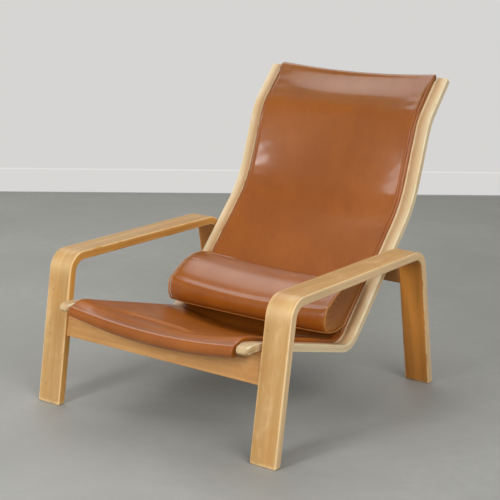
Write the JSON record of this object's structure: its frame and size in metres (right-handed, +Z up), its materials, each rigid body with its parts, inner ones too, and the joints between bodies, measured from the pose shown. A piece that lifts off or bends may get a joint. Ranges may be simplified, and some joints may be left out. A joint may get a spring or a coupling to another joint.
{
  "type": "lounge chair",
  "caption": "Low lounge chair with laminated bent-wood arm loops, a leather sling seat and back on curved rails, and a loose lumbar cushion.",
  "frame": {"origin": "on the floor, in the middle of the chair's overall width and depth", "axes": "+Z up, -Y towards the front of the chair, +X to the side on the right seen from the front"},
  "size_m": [0.7, 0.8953, 0.7693],
  "materials": {
    "arm_wood": "satin",
    "crossrail_wood": "satin",
    "rail_wood": "satin",
    "leather": "semi-gloss",
    "foam": "matte",
    "cloth": "matte",
    "steel": "satin"
  },
  "bodies": {
    "chair": {"arm_frame_left": "arm_wood", "arm_frame_right": "arm_wood", "front_crossrail": "crossrail_wood", "rear_crossrail": "crossrail_wood", "crossrail_dowels": "crossrail_wood", "seat_rail_left": "rail_wood", "seat_rail_right": "rail_wood", "lower_back_stretcher": "rail_wood", "upper_back_stretcher": "rail_wood", "sling_batten_left": "rail_wood", "sling_batten_right": "rail_wood", "rear_rail_blocks": "rail_wood", "stretcher_screws": "steel", "batten_screws": "steel", "front_rail_brackets": "steel", "bracket_screws": "steel", "rear_block_screws": "steel", "sling_leather": "leather", "sling_edge_cord_left": "leather", "sling_edge_cord_right": "leather", "sling_foam": "foam", "sling_backing": "cloth"},
    "lumbar_cushion": {"lumbar_cushion_cover": "leather", "lumbar_cushion_foam": "foam", "cushion_seam_lip": "leather"}
  },
  "joints": [
    {"name": "cushion_lift", "type": "slide", "parent": "chair", "child": "lumbar_cushion", "axis": [0, 0, 1], "range_m": [0, 0.25]}
  ]
}
